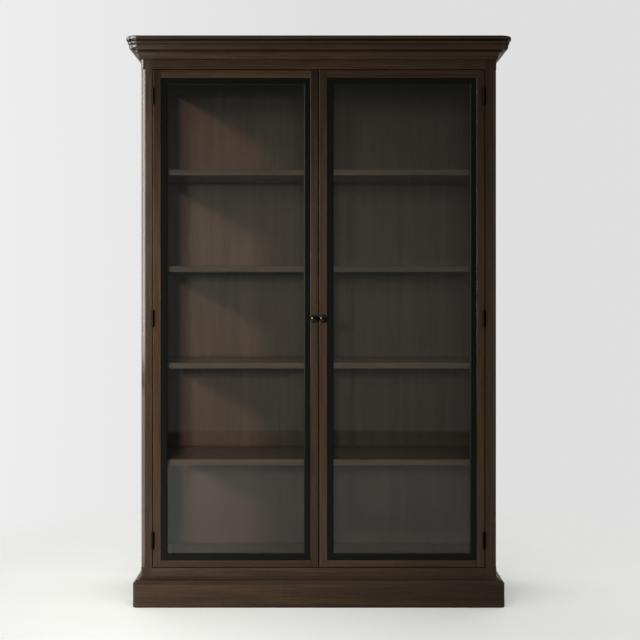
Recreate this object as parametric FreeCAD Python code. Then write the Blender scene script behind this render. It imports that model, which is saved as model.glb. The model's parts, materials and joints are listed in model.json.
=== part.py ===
import FreeCAD, Part
import os

Vector = FreeCAD.Vector

# A glazed bookcase: two flush doors hung between round-cornered posts, under a moulded cornice
# and over a moulded plinth, with four shelves behind the glass.
# The front faces -Y, +Z is up, and the origin lies on the floor under the middle of the whole.
# Every length is in millimetres.

# Case
case_width = 1374.0            # over the corner posts
case_depth = 400.0             # front of the posts to the back of the case
opening_height = 1924.0        # clear height between the frieze rail and the bottom rail
frieze_reveal = 38.0           # frieze rail seen between the doors and the cornice
bottom_rail_reveal = 36.0      # bottom rail seen between the plinth and the doors
fit_slack = 0.2                # room left round a tenon, a tongue or a panel edge
cut_overrun = 5.0              # how far a cutter runs past the wood that it cuts

# Posts and rails
post_width = 44.0
post_depth = 44.0
block_radius = 10.0            # corner of the square ends of a post
shaft_radius = 18.0            # stopped round between the square ends
rear_post_thickness = 30.0
front_rail_thickness = 24.0
back_rail_thickness = 24.0
side_rail_reveal = 60.0        # side rail seen beyond the cornice or the plinth
rail_lap = 50.0                # rail hidden behind the cornice or the plinth
tenon_thickness = 8.0
tenon_length = 22.0
tenon_shoulder = 10.0

# Panels
side_panel_thickness = 20.0
side_panel_recess = 10.0
board_thickness = 22.0         # top board and floor board of the inside
back_panel_thickness = 8.0
back_panel_lap = 10.0
tongue_thickness = 8.0
tongue_length = 8.0
dust_board_thickness = 18.0

# Cornice, from its foot upwards: fillet, cove, quirk, ovolo, bead and top fillet
cornice_projection = 53.5
cornice_turn = 8.5             # how far out from the case the moulding begins to turn round
cornice_foot = 4.0
cove_reach = 21.5
cove_rise = 21.0
quirk_rise = 6.0
quirk_depth = 5.0
ovolo_lip = 7.0
ovolo_reach = 10.0
ovolo_rise = 18.0
bead_quirk = 3.0
bead_height = 12.0
bead_seat = 38.0               # projection of the flat that carries the bead
bead_reach = 9.0
bead_gap = 3.5
top_fillet_height = 13.5
top_fillet_radius = 3.0
hollow_shares = (0.29, 0.71)   # middle of a cove arc along its reach and its rise
round_shares = (0.80, 0.36)    # middle of the ovolo arc along its reach and its rise

# Plinth
plinth_projection = 28.0
plinth_face_height = 90.0
plinth_quirk = 1.5
plinth_bevel = 10.5
plinth_cove_rise = 8.0
plinth_top_fillet = 2.0
plinth_corner_radius = 18.0
plinth_hollow_shares = (0.66, 0.30)

# Shelves
shelf_count = 4
shelf_thickness = 22.0
shelf_pitch = 377.0
lowest_shelf_rise = 411.0      # inside floor to the top of the lowest shelf
shelf_end_gap = 1.0
shelf_front_gap = 1.0          # shelf edge behind the posts
shelf_back_gap = 2.0
pin_radius = 2.5
pin_clearance = 0.05
pin_hole_depth = 12.0
pin_in_wood = 10.0
pin_inset = 50.0               # pin from the front or back edge of its shelf
spoon_length = 14.0
spoon_width = 10.0
spoon_thickness = 3.0

# Doors
door_gap = 3.0
meeting_gap = 4.0
door_thickness = 24.0
stile_width = 30.0
door_foot_width = 25.5         # bottom rail, narrower than the stiles and the top rail
door_arris = 1.5
door_tenon_length = 18.0
door_tenon_shoulder = 5.0

# Black metal glazing frame of a door
metal_slack = 0.2
metal_setback = 2.5            # behind the face of the wood
metal_flat = 21.0
metal_bevel = 4.0
metal_bevel_depth = 2.5
metal_flange = 5.0
metal_leg = 4.0
metal_leg_depth = 12.5
glass_thickness = 4.0
glass_edge_gap = 1.0
glazing_bead_width = 12.0
glazing_bead_depth = 8.0

# Butt hinges
hinge_height = 62.5
hinge_inset = 102.0            # door end to the middle of the nearest hinge
barrel_radius = 4.5
barrel_clearance = 0.3         # barrel in front of the face of the door
barrel_offset = 3.5            # barrel towards the door from the middle of its gap
knuckle_count = 5
knuckle_gap = 0.3
hinge_pin_radius = 2.5
hinge_pin_clearance = 0.05
hinge_pin_head = 2.5
hinge_pin_tail = 1.5
leaf_thickness = 2.0
leaf_width = 20.0
leaf_slack = 0.1
hinge_screw_radius = 1.6
hinge_screw_length = 18.0
hinge_screw_slack = 0.1
hinge_screw_shares = (-0.34, 0.0, 0.34)   # screw places along the height of a leaf

# Knobs
knob_radius = 15.0
knob_projection = 30.0
knob_foot_radius = 8.0
knob_foot_height = 3.0
knob_neck_radius = 5.5
knob_neck_height = 8.0
knob_rim_height = 20.0
knob_bore_depth = 14.0
knob_screw_radius = 2.0
knob_screw_slack = 0.1
knob_screw_head_radius = 4.0
knob_screw_head_height = 2.6

# Door stops and magnetic catches
stop_depth = 15.0
stop_height = 14.0
stop_gap = 1.0
catch_length = 46.0
catch_depth = 15.0
catch_height = 16.0
catch_inset = 6.0              # catch from the middle of the case
catch_gap = 0.5
strike_length = 30.0
strike_height = 12.0
strike_thickness = 1.5

# Screw holes for a tip restraint in the back top rail
restraint_spacing = 800.0
restraint_hole_radius = 2.5

half = 0.5
diagonal_share = 0.5 ** 0.5
outward_shares = (diagonal_share, 1 - diagonal_share)   # middle of a quarter round that starts level
inward_shares = (1 - diagonal_share, diagonal_share)    # middle of a quarter round that starts upright
touch = 0.001                  # two coordinates closer than this are one plane

# Planes of the case
case_half = case_width * half
opening_half = case_half - post_width
front_y = (cornice_projection - case_depth) * half
back_y = (cornice_projection + case_depth) * half
post_back_y = front_y + post_depth
rear_post_y = back_y - post_depth
inner_half = case_half - rear_post_thickness
back_panel_y = back_y - back_panel_thickness
rail_back_y = front_y + front_rail_thickness

# Levels of the case
plinth_height = plinth_face_height + plinth_quirk + plinth_bevel + plinth_cove_rise
floor_z = plinth_height + bottom_rail_reveal
ceiling_z = floor_z + opening_height
cornice_z = ceiling_z + frieze_reveal
case_top = cornice_z + rail_lap
bottom_rail_z = plinth_height - rail_lap
side_panel_z0 = plinth_height + side_rail_reveal
side_panel_z1 = cornice_z - side_rail_reveal
floor_under_z = floor_z - board_thickness
ceiling_over_z = ceiling_z + board_thickness

# Planes of the left side panel and of its tongue
panel_out_x = -case_half + side_panel_recess
panel_in_x = panel_out_x + side_panel_thickness
tongue_mid_x = (panel_out_x + panel_in_x) * half

# Edges of the left door
door_x0 = -opening_half + door_gap
door_x1 = -meeting_gap * half
door_z0 = floor_z + door_gap
door_z1 = ceiling_z - door_gap
door_back_y = front_y + door_thickness
door_mid_z = (door_z0 + door_z1) * half
stile_x0 = door_x0 + stile_width
stile_x1 = door_x1 - stile_width
door_foot_z = door_z0 + door_foot_width
door_head_z = door_z1 - stile_width

# Axis of the left hinges, and the middles of the three hinges
hinge_x = -opening_half + door_gap * half + barrel_offset
hinge_y = front_y - barrel_radius - barrel_clearance
hinge_levels = (door_z0 + hinge_inset, door_mid_z, door_z1 - hinge_inset)

# Shelf edges
shelf_half = -panel_in_x - shelf_end_gap
shelf_y0 = post_back_y + shelf_front_gap
shelf_y1 = back_panel_y - shelf_back_gap
shelf_tops = [floor_z + lowest_shelf_rise + shelf_pitch * i for i in range(shelf_count)]
pin_rows = (shelf_y0 + pin_inset, shelf_y1 - pin_inset)

nodes = {}


def block(x0, x1, y0, y1, z0, z1):
    """A square-edged piece between two planes on each axis."""
    return Part.makeBox(x1 - x0, y1 - y0, z1 - z0, Vector(x0, y0, z0))


def mirrored(shape):
    """The right-hand twin of a left-hand piece."""
    return shape.mirror(Vector(0, 0, 0), Vector(1, 0, 0))


def joined(shape, *others):
    """One clean solid out of pieces that touch."""
    return shape.fuse(list(others)).removeSplitter()


def cut(shape, *cutters):
    """A piece with every cutter taken out of it."""
    return shape.cut(list(cutters))


def plan_prism(points, z0, z1):
    """Upright prism over a plan drawn as (x, y) points."""
    corners = [Vector(x, y, z0) for x, y in points]
    wire = Part.makePolygon(corners + corners[:1])
    return Part.Face(wire).extrude(Vector(0, 0, z1 - z0))


def rod(start, direction, radius, length):
    """A round bar from a point, along a direction."""
    return Part.makeCylinder(radius, length, start, direction)


def place_pair(name, shape):
    """A left-hand node and its mirrored right-hand node."""
    nodes["left_" + name] = shape
    nodes["right_" + name] = mirrored(shape)


def place_door_pair(name, shape):
    """A node of the left door and its twin on the right door."""
    place_pair("door_" + name, shape)


def place_group(name, solids):
    """One node of like pieces on the left of the case and their twins on the right."""
    nodes[name] = Part.makeCompound(solids + [mirrored(solid) for solid in solids])


# Joints of the case


def x_tenon(x, y0, y1, z0, z1, length, shoulder, slack):
    """Tenon on the left end of a rail, or its mortise where slack is given."""
    middle = (y0 + y1) * half
    reach = tenon_thickness * half + slack
    inset = shoulder - slack
    return block(x - length - slack, x, middle - reach, middle + reach, z0 + inset, z1 - inset)


def x_rail(x_half, y0, y1, z0, z1):
    """A rail from left to right with a tenon on each end."""
    tenon = x_tenon(-x_half, y0, y1, z0, z1, tenon_length, tenon_shoulder, 0)
    return joined(block(-x_half, x_half, y0, y1, z0, z1), tenon, mirrored(tenon))


def case_mortise(x_half, y0, y1, z0, z1):
    """The hole in a left post that takes a rail's tenon."""
    return x_tenon(-x_half, y0, y1, z0, z1, tenon_length, tenon_shoulder, fit_slack)


def side_tenon(z0, z1, slack):
    """Bar of tenon that runs through a left side rail into both its posts."""
    middle = -(case_half + inner_half) * half
    reach = tenon_thickness * half + slack
    y0 = post_back_y - tenon_length - slack
    y1 = rear_post_y + tenon_length + slack
    inset = tenon_shoulder - slack
    return block(middle - reach, middle + reach, y0, y1, z0 + inset, z1 - inset)


def side_panel_tongue(slack):
    """Tongue all round the left side panel, or its grooves where slack is given."""
    reach = tongue_thickness * half + slack
    grip = tongue_length + slack
    return block(tongue_mid_x - reach, tongue_mid_x + reach, post_back_y - grip, rear_post_y + grip,
                 side_panel_z0 - grip, side_panel_z1 + grip)


def board_tongue(z0, z1, slack):
    """Tongue on the left end of an inside board, or its groove where slack is given."""
    middle = (z0 + z1) * half
    reach = tongue_thickness * half + slack
    return block(-inner_half - tongue_length - slack, -inner_half, post_back_y, rear_post_y,
                 middle - reach, middle + reach)


side_rail_levels = {
    "top": (side_panel_z1, case_top),
    "bottom": (bottom_rail_z, side_panel_z0),
}
board_levels = {
    "top": (ceiling_z, ceiling_over_z),
    "bottom": (floor_under_z, floor_z),
}


# Hinges


def leaf_plate(x0, z, slack):
    """Plate of a hinge leaf, or its recess in the wood where slack is given."""
    reach = hinge_height * half + slack
    x1 = x0 + leaf_thickness + slack
    return block(x0 - slack, x1, front_y, front_y + leaf_width + slack, z - reach, z + reach)


frame_leaf_x = -opening_half - leaf_thickness
door_leaf_x = door_x0


def hinge_screw_places(x, z):
    """Heads of the screws of one leaf, on its open face."""
    y = front_y + leaf_width * half
    return [Vector(x, y, z + share * hinge_height) for share in hinge_screw_shares]


def hinge_screw(head, direction, slack):
    """Countersunk wood screw with a head as deep as the leaf, or its hole where slack is given."""
    radius = hinge_screw_radius + slack
    cone = Part.makeCone(radius + leaf_thickness, radius, leaf_thickness, head, direction)
    shank_length = hinge_screw_length - leaf_thickness + slack
    shank = rod(head + direction * leaf_thickness, direction, radius, shank_length)
    return joined(cone, shank)


into_post = Vector(-1, 0, 0)
into_door = Vector(1, 0, 0)


def frame_screws(slack):
    """Screws of the left hinges that go into the post."""
    heads = [head for z in hinge_levels for head in hinge_screw_places(-opening_half, z)]
    return [hinge_screw(head, into_post, slack) for head in heads]


def door_screws(slack):
    """Screws of the left hinges that go into the door."""
    heads = [head for z in hinge_levels for head in hinge_screw_places(door_x0, z)]
    return [hinge_screw(head, into_door, slack) for head in heads]


def hinge_leaf(x0, z, knuckles, screws):
    """A leaf: its plate, its share of the knuckles, and a neck and an arm to each of them."""
    pitch = hinge_height / knuckle_count
    foot = z - hinge_height * half
    pieces = []
    for k in knuckles:
        z0 = foot + pitch * k + knuckle_gap * half
        height = pitch - knuckle_gap
        pieces.append(rod(Vector(hinge_x, hinge_y, z0), Vector(0, 0, 1), barrel_radius, height))
        pieces.append(block(x0, x0 + leaf_thickness, hinge_y, front_y, z0, z0 + height))
        pieces.append(block(x0, hinge_x, hinge_y, front_y - barrel_clearance, z0, z0 + height))
    leaf = joined(leaf_plate(x0, z, 0), *pieces)
    bore_foot = Vector(hinge_x, hinge_y, foot - cut_overrun)
    bore_length = hinge_height + cut_overrun * 2
    bore = rod(bore_foot, Vector(0, 0, 1), hinge_pin_radius + hinge_pin_clearance, bore_length)
    return cut(leaf, bore, *screws)


def hinge_pin(z):
    """Pin of one left hinge, with a bevelled head over the barrel."""
    foot = z - hinge_height * half
    top = z + hinge_height * half
    shank = rod(Vector(hinge_x, hinge_y, foot - hinge_pin_tail), Vector(0, 0, 1), hinge_pin_radius,
                hinge_height + hinge_pin_tail)
    head = rod(Vector(hinge_x, hinge_y, top), Vector(0, 0, 1), barrel_radius, hinge_pin_head)
    rim = [edge for edge in head.Edges if edge.BoundBox.ZMin > top + hinge_pin_head * half]
    return joined(shank, head.makeChamfer(hinge_pin_head * half, rim))


def make_hinges():
    """Three butt hinges for each door."""
    outer = range(0, knuckle_count, 2)
    inner = range(1, knuckle_count, 2)
    post_holes = frame_screws(hinge_screw_slack)
    door_holes = door_screws(hinge_screw_slack)
    frame_leaves = [hinge_leaf(frame_leaf_x, z, outer, post_holes) for z in hinge_levels]
    door_leaves = [hinge_leaf(door_leaf_x, z, inner, door_holes) for z in hinge_levels]
    place_group("hinge_frame_leaves", frame_leaves)
    place_group("hinge_pins", [hinge_pin(z) for z in hinge_levels])
    place_group("hinge_frame_screws", frame_screws(0))
    place_door_pair("hinge_leaves", Part.makeCompound(door_leaves))
    place_door_pair("hinge_screws", Part.makeCompound(door_screws(0)))


# Case


def rounded_post(radius, z0, z1):
    """A length of the left post with its outer front arris rounded."""
    centre = Vector(-case_half + radius, front_y + radius, z0)
    start = Vector(centre.x, front_y, z0)
    middle = centre - Vector(radius, radius, 0) * diagonal_share
    end = Vector(-case_half, centre.y, z0)
    corners = [end, Vector(-case_half, post_back_y, z0), Vector(-opening_half, post_back_y, z0),
               Vector(-opening_half, front_y, z0), start]
    edges = Part.makePolygon(corners).Edges
    edges.append(Part.Arc(start, middle, end).toShape())
    return Part.Face(Part.Wire(edges)).extrude(Vector(0, 0, z1 - z0))


def make_front_posts():
    """Posts from the floor to the cornice, square at the ends and rounded between."""
    post = joined(rounded_post(block_radius, 0, floor_z), rounded_post(shaft_radius, floor_z, ceiling_z),
                  rounded_post(block_radius, ceiling_z, case_top))
    mortises = [case_mortise(opening_half, front_y, rail_back_y, ceiling_z, case_top),
                case_mortise(opening_half, front_y, rail_back_y, bottom_rail_z, floor_z)]
    mortises += [side_tenon(z0, z1, fit_slack) for z0, z1 in side_rail_levels.values()]
    recesses = [leaf_plate(frame_leaf_x, z, leaf_slack) for z in hinge_levels]
    place_pair("front_post", cut(post, side_panel_tongue(fit_slack), *mortises, *recesses,
                                 *frame_screws(hinge_screw_slack)))


def make_rear_posts():
    """Rear posts with a rabbet for the back panel."""
    post = block(-case_half, -inner_half, rear_post_y, back_y, 0, case_top)
    rabbet = block(-inner_half - back_panel_lap, -inner_half, back_panel_y, back_y,
                   floor_under_z, ceiling_over_z)
    back_rail_y = back_y - back_rail_thickness
    mortises = [case_mortise(inner_half, back_rail_y, back_y, ceiling_over_z, case_top),
                case_mortise(inner_half, back_rail_y, back_y, bottom_rail_z, floor_under_z)]
    mortises += [side_tenon(z0, z1, fit_slack) for z0, z1 in side_rail_levels.values()]
    place_pair("rear_post", cut(post, rabbet, side_panel_tongue(fit_slack), *mortises))


def make_side_rails():
    """Side rails, grooved for the side panel and for the inside boards."""
    for name, (z0, z1) in side_rail_levels.items():
        bar = block(-case_half, -inner_half, post_back_y, rear_post_y, z0, z1)
        rail = joined(bar, side_tenon(z0, z1, 0))
        groove = board_tongue(*board_levels[name], fit_slack)
        place_pair("side_" + name + "_rail", cut(rail, side_panel_tongue(fit_slack), groove))


def make_side_panels():
    """Side panels tongued into their posts and rails, bored for the shelf pins."""
    panel = block(panel_out_x, panel_in_x, post_back_y, rear_post_y, side_panel_z0, side_panel_z1)
    holes = []
    for top in shelf_tops:
        for y in pin_rows:
            mouth = Vector(panel_in_x, y, top - shelf_thickness - spoon_thickness * half)
            holes.append(rod(mouth, into_post, pin_radius + pin_clearance, pin_hole_depth))
    place_pair("side_panel", cut(joined(panel, side_panel_tongue(0)), *holes))


def make_front_rails():
    """Frieze rail over the doors and bottom rail under them."""
    nodes["frieze_rail"] = x_rail(opening_half, front_y, rail_back_y, ceiling_z, case_top)
    nodes["bottom_rail"] = x_rail(opening_half, front_y, rail_back_y, bottom_rail_z, floor_z)


def make_back_rails():
    """Back rails, the upper one bored for the screws of a tip restraint."""
    back_rail_y = back_y - back_rail_thickness
    top_rail = x_rail(inner_half, back_rail_y, back_y, ceiling_over_z, case_top)
    hole_z = (ceiling_over_z + case_top) * half
    hole_length = back_rail_thickness + cut_overrun * 2
    holes = []
    for side in (-1, 1):
        mouth = Vector(side * restraint_spacing * half, back_rail_y - cut_overrun, hole_z)
        holes.append(rod(mouth, Vector(0, 1, 0), restraint_hole_radius, hole_length))
    nodes["back_top_rail"] = cut(top_rail, *holes)
    nodes["back_bottom_rail"] = x_rail(inner_half, back_rail_y, back_y, bottom_rail_z, floor_under_z)


def make_inside_boards():
    """Ceiling and floor of the inside, notched round the front posts."""
    for name, (z0, z1) in board_levels.items():
        board = block(-inner_half, inner_half, rail_back_y, back_panel_y, z0, z1)
        notch = block(-inner_half, -opening_half, rail_back_y, post_back_y, z0, z1)
        tongue = board_tongue(z0, z1, 0)
        board = cut(board, notch, mirrored(notch))
        nodes["inside_" + name + "_board"] = joined(board, tongue, mirrored(tongue))


def make_back_panel():
    """Back panel let into the rabbets of the rear posts."""
    reach = inner_half + back_panel_lap - fit_slack
    nodes["back_panel"] = block(-reach, reach, back_panel_y, back_y, floor_under_z, ceiling_over_z)


def make_dust_board():
    """Board that closes the top, set down inside the cornice."""
    board = block(-case_half, case_half, front_y, back_y, case_top, case_top + dust_board_thickness)
    front_edges = [edge for edge in board.Edges if edge.BoundBox.YMax < front_y + touch]
    corners = [edge for edge in front_edges if edge.BoundBox.XLength < touch]
    nodes["dust_board"] = board.makeFillet(block_radius, corners)


# Mouldings


def moulding_face(profile, plane):
    """Face of a moulding: each step is a point, or an arc given as its middle and end."""
    here = plane(*profile[0])
    first = here
    edges = []
    for step in profile[1:]:
        end = plane(*step[-1])
        if len(step) == 1:
            edges.append(Part.makeLine(here, end))
        else:
            edges.append(Part.Arc(here, plane(*step[0]), end).toShape())
        here = end
    edges.append(Part.makeLine(here, first))
    return Part.Face(Part.Wire(edges))


def between(start, end, shares):
    """Point at given shares of the way across and up from one point to another."""
    across, up = shares
    return (start[0] + (end[0] - start[0]) * across, start[1] + (end[1] - start[1]) * up)


def cornice_profile():
    """Cornice section as (projection, level), from its back at the foot round to its top."""
    foot = (cornice_foot, cornice_z)
    cove_low = (cornice_foot, cornice_z + cornice_foot)
    cove_high = (cove_low[0] + cove_reach, cove_low[1] + cove_rise)
    quirk_low = (cove_high[0] - quirk_depth, cove_high[1])
    quirk_high = (quirk_low[0], quirk_low[1] + quirk_rise)
    lip = (cove_high[0] + ovolo_lip, quirk_high[1])
    ovolo_top = (lip[0] + ovolo_reach, lip[1] + ovolo_rise)
    bead_low = (bead_seat, ovolo_top[1] + bead_quirk)
    bead_nose = (bead_seat + bead_reach, bead_low[1] + bead_height * half)
    bead_high = (bead_seat, bead_low[1] + bead_height)
    groove = (bead_seat, bead_high[1] + bead_gap)
    nose_low = (cornice_projection - top_fillet_radius, groove[1])
    nose_face = (cornice_projection, groove[1] + top_fillet_radius)
    face_top = (cornice_projection, groove[1] + top_fillet_height - top_fillet_radius)
    nose_high = (nose_low[0], groove[1] + top_fillet_height)
    return [
        (0, cornice_z), (foot,), (cove_low,),
        (between(cove_low, cove_high, hollow_shares), cove_high),
        (quirk_low,), (quirk_high,), (lip,),
        (between(lip, ovolo_top, round_shares), ovolo_top),
        ((bead_seat, ovolo_top[1]),), (bead_low,), (bead_nose, bead_high), (groove,), (nose_low,),
        (between(nose_low, nose_face, outward_shares), nose_face), (face_top,),
        (between(face_top, nose_high, inward_shares), nose_high),
        ((0, nose_high[1]),),
    ]


def make_cornice():
    """Cornice in three lengths, round at the corners and square behind, that meet on a mitre."""
    profile = cornice_profile()
    top_z = profile[-1][0][1]
    turn_x = -case_half - cornice_turn
    turn_y = front_y - cornice_turn
    reach_x = -case_half - cornice_projection
    reach_y = front_y - cornice_projection
    front_face = moulding_face(profile, lambda p, z: Vector(turn_x, front_y - p, z))
    side_face = moulding_face(profile, lambda p, z: Vector(-case_half - p, turn_y, z))
    front_nose = front_face.common(block(turn_x - cut_overrun, turn_x + cut_overrun, reach_y, turn_y,
                                         cornice_z, top_z))
    side_nose = side_face.common(block(reach_x, turn_x, turn_y - cut_overrun, turn_y + cut_overrun,
                                       cornice_z, top_z))
    turn = Vector(turn_x, turn_y, 0)
    up = Vector(0, 0, 1)
    eighth_turn = 45
    front_turn = front_nose.Faces[0].revolve(turn, up, -eighth_turn)
    side_turn = side_nose.Faces[0].revolve(turn, up, eighth_turn)
    front_plan = [(turn_x, reach_y), (-turn_x, reach_y), (-turn_x, turn_y), (case_half, front_y),
                  (-case_half, front_y), (turn_x, turn_y)]
    side_plan = [(reach_x, turn_y), (turn_x, turn_y), (-case_half, front_y), (-case_half, back_y),
                 (reach_x, back_y)]
    front_run = front_face.extrude(Vector(-2 * turn_x, 0, 0))
    front_run = front_run.common(plan_prism(front_plan, cornice_z, top_z))
    side_run = side_face.extrude(Vector(0, back_y - turn_y, 0))
    side_run = side_run.common(plan_prism(side_plan, cornice_z, top_z))
    nodes["cornice_front"] = joined(front_run, front_turn, mirrored(front_turn))
    place_pair("cornice_side", joined(side_run, side_turn))


def plinth_profile():
    """Plinth section as (projection, level), from its back at the floor round to its top."""
    quirk_reach = plinth_projection - plinth_quirk
    bevel_z = plinth_face_height + plinth_quirk
    cove_low = (quirk_reach - plinth_bevel, bevel_z + plinth_bevel)
    cove_high = (plinth_top_fillet, plinth_height)
    return [
        (0, 0), ((plinth_projection, 0),), ((plinth_projection, plinth_face_height),),
        ((quirk_reach, plinth_face_height),), ((quirk_reach, bevel_z),), (cove_low,),
        (between(cove_low, cove_high, plinth_hollow_shares), cove_high),
        ((0, plinth_height),),
    ]


def make_plinth():
    """Plinth boards, mitred at the front and rounded on the mitre."""
    profile = plinth_profile()
    reach_x = case_half + plinth_projection
    reach_y = front_y - plinth_projection
    front_face = moulding_face(profile, lambda p, z: Vector(-reach_x, front_y - p, z))
    side_face = moulding_face(profile, lambda p, z: Vector(-case_half - p, reach_y, z))
    front = front_face.extrude(Vector(2 * reach_x, 0, 0))
    side = side_face.extrude(Vector(0, back_y - reach_y, 0))
    front_plan = [(-reach_x, reach_y), (reach_x, reach_y), (case_half, front_y), (-case_half, front_y)]
    side_plan = [(-reach_x, reach_y), (-case_half, front_y), (-case_half, back_y), (-reach_x, back_y)]
    radius = plinth_corner_radius
    waste = cut(block(-reach_x, -reach_x + radius, reach_y, reach_y + radius, 0, plinth_height),
                rod(Vector(-reach_x + radius, reach_y + radius, 0), Vector(0, 0, 1), radius, plinth_height))
    front = front.common(plan_prism(front_plan, 0, plinth_height))
    nodes["plinth_front"] = cut(front, waste, mirrored(waste)).removeSplitter()
    side = side.common(plan_prism(side_plan, 0, plinth_height))
    place_pair("plinth_side", cut(side, waste).removeSplitter())


# Shelves


def shelf_pin(top, y):
    """A left shelf support: a round peg in the side panel and a flat spoon under the shelf."""
    under = top - shelf_thickness
    spoon = block(panel_in_x, panel_in_x + spoon_length, y - spoon_width * half, y + spoon_width * half,
                  under - spoon_thickness, under)
    peg = rod(Vector(panel_in_x, y, under - spoon_thickness * half), into_post, pin_radius, pin_in_wood)
    return joined(spoon, peg)


def make_shelves():
    """Loose shelves on four pins each."""
    for number, top in enumerate(shelf_tops, 1):
        nodes["shelf_" + str(number)] = block(-shelf_half, shelf_half, shelf_y0, shelf_y1,
                                              top - shelf_thickness, top)
    place_group("shelf_pins", [shelf_pin(top, y) for top in shelf_tops for y in pin_rows])


# Doors


def eased(bar, along):
    """A bar of the door frame with its two long front arrises rounded."""
    box = bar.BoundBox
    length = {"x": box.XLength, "z": box.ZLength}[along]
    front_edges = [edge for edge in bar.Edges if edge.BoundBox.YMax < box.YMin + touch]
    arrises = [edge for edge in front_edges if edge.Length > length - touch]
    return bar.makeFillet(door_arris, arrises)


def door_tenon(z0, z1, slack):
    """Tenon on the left end of a rail of the left door, or its mortise where slack is given."""
    return x_tenon(stile_x0, front_y, door_back_y, z0, z1, door_tenon_length, door_tenon_shoulder, slack)


def to_meeting_stile(shape):
    """A piece at the left end of the left door, carried over to its right end."""
    return shape.mirror(Vector((door_x0 + door_x1) * half, 0, 0), Vector(1, 0, 0))


door_rail_levels = {
    "top": (door_head_z, door_z1),
    "bottom": (door_z0, door_foot_z),
}


def knob_axis_x():
    """Middle of the meeting stile of the left door."""
    return (stile_x1 + door_x1) * half


def make_door_wood():
    """Stiles and rails of a door, tenoned together."""
    mortises = [door_tenon(z0, z1, fit_slack) for z0, z1 in door_rail_levels.values()]
    stile = cut(eased(block(door_x0, stile_x0, front_y, door_back_y, door_z0, door_z1), "z"), *mortises)
    recesses = [leaf_plate(door_leaf_x, z, leaf_slack) for z in hinge_levels]
    place_door_pair("hinge_stile", cut(stile, *recesses, *door_screws(hinge_screw_slack)))
    screw_hole = rod(Vector(knob_axis_x(), front_y - cut_overrun, door_mid_z), Vector(0, 1, 0),
                     knob_screw_radius + knob_screw_slack, door_thickness + cut_overrun * 2)
    place_door_pair("meeting_stile", cut(to_meeting_stile(stile), screw_hole))
    for name, (z0, z1) in door_rail_levels.items():
        rail = eased(block(stile_x0, stile_x1, front_y, door_back_y, z0, z1), "x")
        tenon = door_tenon(z0, z1, 0)
        place_door_pair(name + "_rail", joined(rail, tenon, to_meeting_stile(tenon)))


def pane(inset, y0, y1):
    """Block that fills the wood frame of the left door, less an inset all round."""
    return block(stile_x0 + inset, stile_x1 - inset, y0, y1,
                 door_foot_z + inset, door_head_z - inset)


def pane_outline(inset, y):
    """Outline of such a block at one depth."""
    x0 = stile_x0 + inset
    x1 = stile_x1 - inset
    z0 = door_foot_z + inset
    z1 = door_head_z - inset
    return Part.makePolygon([Vector(x0, y, z0), Vector(x1, y, z0), Vector(x1, y, z1), Vector(x0, y, z1),
                             Vector(x0, y, z0)])


metal_y = front_y + metal_setback
glass_y = metal_y + metal_flange
bead_y = glass_y + glass_thickness
metal_sight = metal_slack + metal_flat + metal_bevel
metal_leg_inset = metal_slack + metal_leg


def make_metal_frame():
    """Welded frame of angle section, bevelled towards the glass."""
    flange = cut(pane(metal_slack, metal_y, glass_y), pane(metal_sight, metal_y, glass_y))
    bevel = Part.makeLoft([pane_outline(metal_slack + metal_flat, metal_y),
                           pane_outline(metal_sight, metal_y + metal_bevel_depth)], True, True)
    leg_y = glass_y + metal_leg_depth
    leg = cut(pane(metal_slack, glass_y, leg_y), pane(metal_leg_inset, glass_y, leg_y))
    place_door_pair("metal_frame", joined(cut(flange, bevel), leg))


def make_glazing():
    """Glass behind the metal flange, held by four loose beads."""
    place_door_pair("glass", pane(metal_leg_inset + glass_edge_gap, glass_y, bead_y))
    inner = metal_leg_inset + glazing_bead_width
    ring = cut(pane(metal_leg_inset, bead_y, bead_y + glazing_bead_depth),
               pane(inner, bead_y, bead_y + glazing_bead_depth))
    span = pane(inner, bead_y, bead_y + glazing_bead_depth).BoundBox
    outer = ring.BoundBox
    cross_beads = []
    for z0, z1 in ((outer.ZMin, span.ZMin), (span.ZMax, outer.ZMax)):
        cross_beads.append(block(outer.XMin, outer.XMax, outer.YMin, outer.YMax, z0, z1))
    upright_beads = cut(ring, *cross_beads).Solids
    place_door_pair("glazing_beads", Part.makeCompound(cross_beads + upright_beads))


def make_knobs():
    """Turned mushroom knobs with a domed crown, each held by a screw through the stile."""
    x = knob_axis_x()
    foot = (knob_foot_radius, knob_foot_height)
    neck = (knob_neck_radius, knob_neck_height)
    rim = (knob_radius, knob_rim_height)
    crown = (0, knob_projection)
    crown_height = knob_projection - knob_rim_height
    dome_radius = (knob_radius ** 2 + crown_height ** 2) * half / crown_height
    dome_middle = knob_radius * half
    dome_drop = dome_radius - (dome_radius ** 2 - dome_middle ** 2) ** half
    dome = (dome_middle, knob_projection - dome_drop)
    profile = [(0, 0), ((knob_foot_radius, 0),), (foot,), (neck,), (rim,), (dome, crown)]
    face = moulding_face(profile, lambda r, out: Vector(x + r, front_y - out, door_mid_z))
    full_turn = 360
    knob = face.revolve(Vector(x, front_y, door_mid_z), Vector(0, 1, 0), full_turn)
    forward = Vector(0, -1, 0)
    bore = rod(Vector(x, front_y + cut_overrun, door_mid_z), forward, knob_screw_radius + knob_screw_slack,
               knob_bore_depth + cut_overrun)
    place_door_pair("knob", cut(knob, bore))
    shank = rod(Vector(x, door_back_y, door_mid_z), forward, knob_screw_radius,
                door_thickness + knob_bore_depth - knob_screw_head_height)
    head = rod(Vector(x, door_back_y + knob_screw_head_height, door_mid_z), forward, knob_screw_head_radius,
               knob_screw_head_height)
    place_door_pair("knob_screw", joined(shank, head))


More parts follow.
